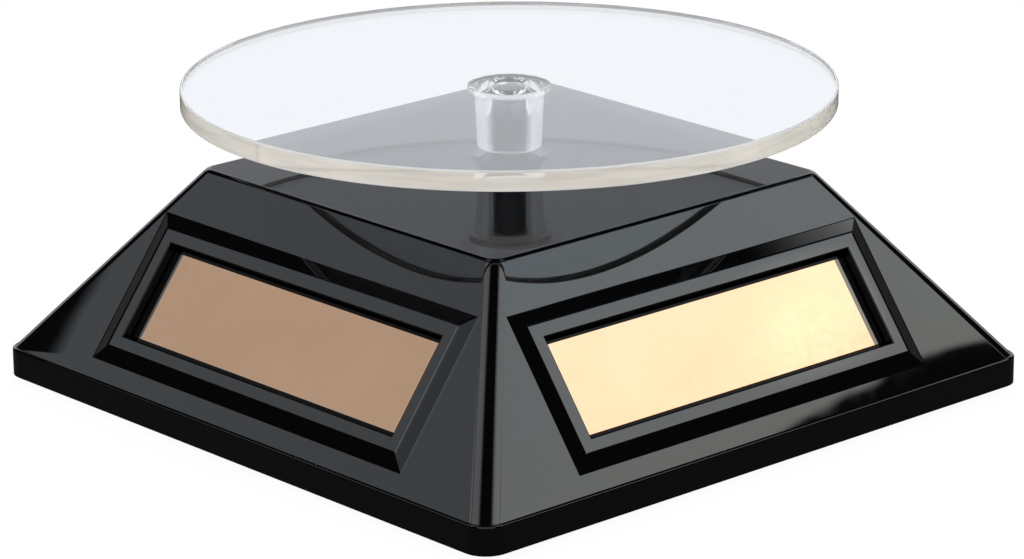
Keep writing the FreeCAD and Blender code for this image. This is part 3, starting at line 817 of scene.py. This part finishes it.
    def plate(self, shape: BMesh, rim: Loop, z: float) -> Loop:
        """Add a flat plate inside a loop, with a round hole for the bush.

        Args:
            shape: Mesh to add to.
            rim: Loop round the plate.
            z: Height of the plate.

        Returns:
            The hole's loop.
        """
        hole = [shape.verts.new((x, y, z)) for x, y in circle(self.bush_hole, self.hole_steps)]
        edges = []
        for loop in (rim, hole):
            for pair in zip(loop, [*loop[1:], loop[0]]):
                edges.append(shape.edges.get(pair) or shape.edges.new(pair))
        bmesh.ops.triangle_fill(shape, use_beauty=True, edges=edges)
        return hole

    def build(self) -> Object:
        """Build the housing in place of its plain solid, with its own finish on the level top.

        Returns:
            The new piece.
        """
        shape = bmesh.new()
        parts = (self.skirt(), self.crown(), self.hollow())
        outside, crown, (*inside, roof) = ([self.loop(shape, level) for level in levels]
                                           for levels in parts)
        for loops in (outside, crown, inside, (inside[0], outside[0])):
            for lower, upper in zip(loops, loops[1:]):
                band(shape, lower, upper)
        slopes = ((outside[-1], crown[0]), (inside[-1], roof))
        for lower, upper in slopes:
            band(shape, lower, upper, self.corner_steps + 1)
        for side in Side:
            self.framed_face(shape, side, *(self.face_corners(*loops, side) for loops in slopes))
        upper_hole = self.plate(shape, crown[-1], self.high.z)
        level = {*crown[-1], *upper_hole}
        for face in shape.faces:
            face.material_index = int(level.issuperset(face.verts))
        lower_hole = self.plate(shape, roof, self.ceiling)
        band(shape, lower_hole, upper_hole)
        piece = mesh_piece("housing", shape, Body.BASE, self.paint)
        piece.data.materials.append(self.top_paint)
        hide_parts("base_shell")
        return piece


@dataclass
class SolarPanels:
    """Four flat cells behind the windows. Sizes in millimetres."""

    housing: Housing
    paint: Material
    lap: float = 1.6
    thickness: float = 1.4
    pane_rise: float = 1.2
    pane_gap: float = 0.12
    edge: float = 0.15
    edge_steps: int = 2
    crisp_angle: float = 30.0

    def build(self) -> list[Object]:
        """Build the panels in place of their plain solids, one for each face."""
        return [self.panel(side) for side in Side]

    def panel(self, side: Side) -> Object:
        """Build one panel, drawn about its own middle so that its film keeps its place.

        Args:
            side: Face that it lies behind.

        Returns:
            The new piece.
        """
        shape, shell = bmesh.new(), self.housing
        depth = self.thickness / 2
        rings: list[Loop] = []
        for margin, z in ((self.lap, -depth), (self.lap, depth), (-self.pane_gap, depth),
                          (-self.pane_gap, depth + self.pane_rise)):
            rings.append([shape.verts.new((x, y, z)) for x, y in shell.window_corners(margin)])
        for lower, upper in zip(rings, rings[1:]):
            band(shape, lower, upper)
        shape.faces.new(rings[0])
        shape.faces.new(rings[-1])
        least = math.radians(self.crisp_angle)
        crisp = [edge for edge in shape.edges if edge.calc_face_angle() > least]
        bmesh.ops.bevel(shape, geom=crisp, offset=self.edge, segments=self.edge_steps,
                        affect="EDGES", profile=0.5)
        middle = shell.on_face(side, 0.0, shell.window_up_slope, -shell.wall - depth)
        tilt = Matrix.Rotation(shell.angle, 4, "X")
        end = Matrix.Rotation(math.pi * (side.value % 2), 4, "Z")
        place = Matrix.Translation(middle * MM) @ side.turn() @ tilt @ end
        face = side.name.lower()
        piece = mesh_piece("film_" + face, shape, Body.BASE, self.paint, place)
        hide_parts("solar_panel_" + face)
        return piece


@dataclass
class Turntable:
    """Clear disc with its hub bonded under it, on the black spindle. Sizes in millimetres."""

    clear: Acrylic
    hub_flange: float = 0.8
    flange_step: float = 0.95
    flange_edge: float = 0.15
    flange_steps: int = 3
    hub_taper: float = 0.35
    hub_edge: float = 0.4
    hub_steps: int = 6
    bore_radius: float = 2.45
    bore_crown: float = 1.1
    disc_edge: float = 0.35
    disc_steps: int = 5
    segments: int = 256

    def profile(self) -> Profile:
        """Half section of disc and hub as one clear body.

        Returns:
            Points (radius, z) from the bore's crown to the disc's top.
        """
        disc_low, disc_high = (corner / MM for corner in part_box("turntable_disc"))
        hub_low, hub_high = (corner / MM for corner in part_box("turntable_hub"))
        crown = disc_low.z - self.bore_crown
        neck = hub_high.x - self.flange_step
        tip = (neck - self.hub_taper - self.hub_edge, hub_low.z + self.hub_edge)
        under = disc_low.z - self.hub_flange
        flange = (hub_high.x - self.flange_edge, under + self.flange_edge)
        rim = disc_high.x - self.disc_edge
        points = [(0.0, crown), (self.bore_radius, crown), (self.bore_radius, hub_low.z)]
        points += arc(tip, self.hub_edge, -90, 0, self.hub_steps)
        points.append((neck, under))
        points += arc(flange, self.flange_edge, -90, 0, self.flange_steps)
        points.append((hub_high.x, disc_low.z))
        for z, start in ((disc_low.z + self.disc_edge, -90), (disc_high.z - self.disc_edge, 0)):
            points += arc((rim, z), self.disc_edge, start, start + 90, self.disc_steps)
        points.append((0.0, disc_high.z))
        return points

    def build(self) -> Object:
        """Build the clear body in place of the disc and hub solids.

        Returns:
            The new piece.
        """
        shape = turned(self.profile(), self.segments)
        piece = mesh_piece("clear_disc_and_hub", shape, Body.TURNTABLE, self.clear.material())
        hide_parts("turntable_disc", "turntable_hub")
        return piece


class Carried:
    """Sub-assembly whose solids already have the right shape and only get their finishes."""

    def build(self) -> list[str]:
        """Dress the solids.

        Returns:
            Names of the dressed nodes.
        """
        dressed: list[str] = []
        for entry in fields(self):
            finish, names = getattr(self, entry.name)
            paint = finish.material()
            for name in names:
                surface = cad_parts[name].data
                surface.materials.clear()
                surface.materials.append(paint)
                dressed.append(name)
        return dressed


@dataclass
class Underside(Carried):
    """Screwed cover with battery door, switch and rubber feet."""

    shell: Dressing = (Moulding("satin_cover", (0.03, 0.03, 0.031), (0.4, 0.58), (0.14, 0.012)),
                       ("bottom_cover",))
    door: Dressing = (Moulding("satin_door", (0.034, 0.034, 0.035), (0.36, 0.52), (0.14, 0.012)),
                      ("battery_door",))
    knob: Dressing = (Moulding("satin_knob", (0.04, 0.04, 0.042), (0.3, 0.45), (0.1, 0.008),
                               rubbed_and_highlit=2.4), ("switch_knob",))
    foot: Dressing = (Moulding("foot_rubber", (0.045, 0.044, 0.042), (0.75, 0.95), (0.3, 0.03),
                               edge=0.4),
                      ("rubber_foot_front_left", "rubber_foot_front_right",
                       "rubber_foot_back_right", "rubber_foot_back_left"))
    screw: Dressing = (Metal("plated_screw", (0.6, 0.6, 0.58), (0.3, 0.45)), ("cover_screws",))
    can: Dressing = (Metal("pressed_switch", (0.66, 0.66, 0.65), (0.3, 0.42)), ("switch_body",))
    contact: Dressing = (Metal("tinned_contact", (0.74, 0.73, 0.7), (0.18, 0.32)),
                         ("battery_contact_positive", "battery_contact_negative", "switch_pins"))


@dataclass
class Drive(Carried):
    """Motor, gear train and spindle inside the base."""

    spindle: Dressing = (Polish("spindle_gloss"), ("drive_spindle", "spindle_bush"))
    wheel: Dressing = (Moulding("natural_acetal", (0.8, 0.8, 0.77), (0.28, 0.42), (0.2, 0.004),
                                edge=0.12, rubbed_and_highlit=1.1),
                       ("output_gear", "first_reduction_gear", "second_reduction_gear"))
    plate: Dressing = (Moulding("gearbox_grey", (0.3, 0.31, 0.32), (0.35, 0.5), (0.2, 0.006),
                                edge=0.2, rubbed_and_highlit=1.3),
                       ("gearbox_lower_plate", "gearbox_upper_plate"))
    cap: Dressing = (Moulding("motor_cap_nylon", (0.72, 0.72, 0.68), (0.35, 0.5), (0.2, 0.006),
                              edge=0.15, rubbed_and_highlit=1.1), ("motor_end_cap",))
    can: Dressing = (Metal("motor_can_zinc", (0.6, 0.61, 0.63), (0.28, 0.42), edge=0.3),
                     ("motor_can",))
    rod: Dressing = (Metal("ground_steel", (0.64, 0.64, 0.65), (0.15, 0.25)),
                     ("motor_shaft", "first_gear_axle", "second_gear_axle"))
    screw: Dressing = (Metal("gearbox_screw", (0.58, 0.58, 0.57), (0.3, 0.45)),
                       ("gearbox_screws", "motor_screws"))
    tag: Dressing = (Metal("solder_tag", (0.72, 0.72, 0.7), (0.25, 0.4)), ("motor_terminals",))
    pinion: Dressing = (Metal("cut_brass", (0.75, 0.57, 0.27), (0.2, 0.34)), ("motor_pinion",))


def facing(toward: Point, distance: float, roll: float = 0.0) -> Matrix:
    """Place of a thing that looks at the object.

    Args:
        toward: Azimuth from the front, anticlockwise from above, and elevation, in degrees.
        distance: Its distance in metres.
        roll: Its turn about its own line of sight in degrees.

    Returns:
        Matrix with its x to the right, its y up and its z away from the object.
    """
    turns = ((toward[0], "Z"), (90.0 - toward[1], "X"), (roll, "Z"))
    spin, tilt, turn = (Matrix.Rotation(math.radians(angle), 4, axis) for angle, axis in turns)
    return spin @ tilt @ turn @ Matrix.Translation((0.0, 0.0, distance))


@dataclass(frozen=True)
class PhotoCamera:
    """Long lens at the photograph's place, for an image of 1024 by 559 pixels."""

    azimuth: float = 47.795
    elevation: float = 17.838
    roll: float = -0.397
    distance: float = 0.63906
    aim_height: float = 0.011805
    focal_pixels: float = 4374.4
    image: Point = (1024.0, 559.0)
    middle: Point = (510.607, 306.346)
    sensor: float = 36.0
    clip: Point = (0.01, 100.0)

    def beside(self, toward: Point) -> Point:
        """Azimuth and elevation of a bearing whose azimuth counts from the camera's own."""
        return self.azimuth + toward[0], toward[1]

    def place(self) -> Object:
        """Make the scene's camera.

        Returns:
            The camera object.
        """
        data = bpy.data.cameras.new("photo_camera")
        width, height = self.image
        data.sensor_fit = "HORIZONTAL"
        data.sensor_width = self.sensor
        data.lens = self.focal_pixels * self.sensor / width
        data.shift_x = (width / 2 - self.middle[0]) / width
        data.shift_y = (self.middle[1] - height / 2) / width
        data.clip_start, data.clip_end = self.clip
        lift = Matrix.Translation((0.0, 0.0, self.aim_height))
        stand = facing((self.azimuth, self.elevation), self.distance, self.roll)
        camera = set_down("photo_camera", data, lift @ stand)
        bpy.context.scene.camera = camera
        return camera


@dataclass(frozen=True)
class Softbox:
    """Glowing cloth panel that faces the object, measured in degrees as seen from the object."""

    name: str
    toward: Point
    across: Point
    upward: Point
    strength: float
    tints: tuple[Colour, Colour] = (WHITE, WHITE)
    roll: float = 0.0
    fade: tuple[float, ...] = (0.2,) * 4
    core: Point = (0.0, 0.0)
    core_reach: float = 3.0
    core_gain: float = 0.0
    distance: float = 6.0

    def place(self, camera: PhotoCamera) -> Object:
        """Hang the panel in the studio, out of the lens's sight.

        Args:
            camera: Camera from which azimuths are counted.

        Returns:
            The panel object.
        """
        corners = [(x, y, 0.0) for x, y in rectangle(self.across, self.upward)]
        mesh = bpy.data.meshes.new(self.name)
        mesh.from_pydata(corners, [], [range(len(corners))])
        mesh.materials.append(self.cloth())
        degree = Matrix.Scale(self.distance * math.radians(1.0), 4)
        hung = facing(camera.beside(self.toward), self.distance, self.roll)
        panel = set_down(self.name, mesh, hung @ degree)
        panel.visible_camera = False
        return panel

    def cloth(self) -> Material:
        """Glowing cloth, brighter at its core, that fades to its left, right, low and high edges.

        Returns:
            The material.
        """
        sheet = NodeSheet(self.name)
        place = sheet.place()
        apart = sheet.vector("DISTANCE", place, (*self.core, 0.0)).outputs["Value"]
        glow = (self.strength * (1 + self.core_gain), self.strength)
        level = sheet.ranged(apart, (0.0, self.core_reach), glow, smooth=True)
        x, y, _ = sheet.axes(place)
        edges = zip((x, x, y, y), (*self.across, *self.upward), (1, -1, 1, -1), self.fade)
        for axis, edge, inward, width in edges:
            fall = sheet.ranged(axis, (edge, edge + inward * width), smooth=True)
            level = sheet.number("MULTIPLY", level, fall)
        tint = sheet.ramp(sheet.ranged(y, self.upward), (0.0, 1.0), self.tints)
        return sheet.finish(sheet.add("Emission", Color=tint, Strength=level))


@dataclass(frozen=True)
class SideLamp:
    """Low lamp that lights matte parts and the hub's painted glow from one side and shows in no
    mirror.
    """

    name: str
    toward: Point
    power: float
    side_length: float = 0.1
    distance: float = 1.0

    def place(self, camera: PhotoCamera) -> Object:
        """Set the lamp up, facing the object.

        Args:
            camera: Camera from which azimuths are counted.

        Returns:
            The lamp object.
        """
        light = bpy.data.lights.new(self.name, "AREA")
        light.energy = self.power
        light.size = self.side_length
        lamp = set_down(self.name, light, facing(camera.beside(self.toward), self.distance))
        for kind in ("visible_camera", "visible_glossy", "visible_transmission"):
            setattr(lamp, kind, False)
        return lamp


@dataclass(frozen=True)
class Studio:
    """Pale floor, white surroundings and soft lights."""

    camera: PhotoCamera
    lights: tuple[Softbox | SideLamp, ...]
    floor_size: float = 24.0
    floor_colour: Colour = (0.8, 0.8, 0.8)
    floor_white: float = 1.03
    floor_shade: float = 0.07
    floor_shine: float = 0.06
    ambient: float = 0.85
    dim: float = 0.012
    through: float = 0.89
    horizon: Point = (0.2, 0.45)
    light_bounces: int = 32

    def floor(self) -> Object:
        """Plain pale floor, white where the lens or the clear disc looks at it, unseen from below.

        Returns:
            The floor object.
        """
        shape = bmesh.new()
        bmesh.ops.create_grid(shape, x_segments=1, y_segments=1, size=self.floor_size / 2)
        mesh = bpy.data.meshes.new("floor")
        shape.to_mesh(mesh)
        shape.free()
        sheet = NodeSheet("floor")
        rays = sheet.add("LightPath").outputs
        matte = sheet.add("BsdfDiffuse", Color=self.floor_colour)
        white, shine, bent = (sheet.add("Emission", Strength=level)
                              for level in (self.floor_white, self.floor_shine, self.through))
        shaded = sheet.layer(self.floor_shade, white, matte)
        clear = sheet.add("BsdfTransparent")
        surface = matte
        for share, layer in ((rays["Is Glossy Ray"], shine), (rays["Is Transmission Ray"], bent),
                             (rays["Is Camera Ray"], shaded), (sheet.behind(), clear)):
            surface = sheet.layer(share, surface, layer)
        mesh.materials.append(sheet.finish(surface))
        floor = set_down("floor", mesh, Matrix.Identity(4))
        floor.visible_diffuse = False
        return floor

    def surroundings(self) -> World:
        """White surroundings for the lens, a dim studio for mirrors and an even fill for the rest.

        Returns:
            The scene's world.
        """
        sheet = NodeSheet("surroundings", world=True)
        bpy.context.scene.world = sheet.owner
        rays = sheet.add("LightPath").outputs
        height = sheet.axes(sheet.add("TexCoord").outputs["Generated"])[2]
        rise = sheet.ranged(height, self.horizon, (self.through, self.dim))
        surface = sheet.add("Background", Color=WHITE, Strength=self.ambient)
        for kind, level in (("Glossy", self.dim), ("Transmission", rise), ("Camera", 1.0)):
            layer = sheet.add("Background", Color=WHITE, Strength=level)
            share = rays[f"Is {kind} Ray"]
            if kind != "Camera":
                # After a matte bounce the even fill counts
                share = sheet.number("GREATER_THAN", share, rays["Diffuse Depth"])
            surface = sheet.layer(share, surface, layer)
        return sheet.finish(surface)

    def build(self) -> None:
        """Set up floor, lights, surroundings, camera and plain colour rendering."""
        self.floor()
        self.surroundings()
        for light in self.lights:
            light.place(self.camera)
        self.camera.place()
        scene = bpy.context.scene
        scene.view_settings.view_transform = "Standard"
        for kind in ("max", "glossy", "transmission"):
            setattr(scene.cycles, f"{kind}_bounces", self.light_bounces)


def studio_lights() -> tuple[Softbox | SideLamp, ...]:
    """Lights of the studio, with azimuths counted from the camera.

    Returns:
        Lamps, the panels that the photograph's mirrors show, and panels for the other sides.
    """
    cool, pale = (0.95, 0.97, 1.02), (0.97, 0.98, 1.0)
    return (
        SideLamp("left_lamp", (-70.0, 2.3), power=4.0),
        SideLamp("right_lamp", (70.0, 2.3), power=4.0),
        Softbox("left_softbox", (-103.0, 33.0), (-6.6, 33.0), (-5.0, 10.0), 0.98,
                tints=((0.9, 0.95, 0.99), (0.87, 0.97, 1.1)), roll=24.0,
                fade=(0.5, 11.0, 0.15, 2.0), core=(9.0, -0.5), core_reach=6.5, core_gain=1.8),
        Softbox("left_wing", (-82.0, 53.0), (-10.5, 23.0), (-4.0, 5.0), 1.85,
                tints=(pale, pale), roll=55.0, fade=(0.3, 14.0, 1.0, 1.0), distance=5.9),
        Softbox("right_softbox", (97.0, 38.0), (-11.0, 9.0), (-5.45, 7.0), 2.85,
                tints=((0.98, 1.0, 0.95), (0.72, 0.95, 1.2)), roll=-26.6,
                fade=(0.3, 2.0, 0.15, 4.0), core=(2.3, -4.1), core_reach=1.3, core_gain=0.25),
        Softbox("right_wing", (74.0, 55.0), (-23.0, 13.0), (-4.0, 5.0), 2.9, roll=-55.0,
                fade=(16.0, 0.3, 1.0, 1.0), distance=5.9),
        Softbox("right_fill", (118.5, 44.0), (-1.5, 10.0), (-6.0, 1.5), 3.5, fade=(2.0,) * 4),
        Softbox("back_wall", (180.0, 17.0), (-40.0, 40.0), (-16.0, 17.0), 1.03,
                tints=(cool, cool), fade=(2.0, 2.0, 0.1, 6.0)),
        Softbox("left_glow", (-130.0, 13.7), (-2.4, 2.4), (-2.0, 2.0), 0.2, fade=(1.0,) * 4),
        Softbox("right_glow", (122.0, 18.4), (-2.4, 2.4), (-2.0, 2.0), 0.17, fade=(1.0,) * 4),
        Softbox("front_wall", (0.0, 30.0), (-42.0, 42.0), (-30.0, 46.0), 0.8,
                fade=(6.0, 6.0, 2.0, 4.0)),
        Softbox("far_right_box", (74.0, 30.0), (-8.0, 8.0), (-8.0, 8.0), 1.2, fade=(3.0,) * 4),
        Softbox("far_left_roof", (-138.0, 60.0), (-12.0, 12.0), (-6.0, 10.0), 1.0,
                fade=(3.0, 3.0, 2.0, 3.0)),
        Softbox("far_right_roof", (133.0, 61.0), (-12.0, 12.0), (-6.0, 10.0), 1.0,
                fade=(3.0, 3.0, 2.0, 3.0)),
    )


def main() -> None:
    """Build and dress the turntable, then the studio round it."""
    logging.basicConfig(level=logging.INFO)
    gloss = Polish("black_gloss")
    # Duller, slightly paler copy of the gloss for the level top
    dull_top = Polish("black_gloss_dull_top", shine=0.08, colour=(0.004, 0.004, 0.0045))
    housing = Housing(gloss.material(), dull_top.material())
    log.info("built %s", housing.build().name)
    for piece in SolarPanels(housing, SolarFilm("solar_film").material()).build():
        log.info("built %s", piece.name)
    clear = Acrylic("clear_acrylic", hub_bottom=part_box("turntable_hub")[0].z / MM)
    log.info("built %s", Turntable(clear).build().name)
    for group in (Drive(), Underside()):
        for name in group.build():
            log.info("dressed %s", name)
    Studio(PhotoCamera(), studio_lights()).build()


if __name__ == "__main__":
    main()
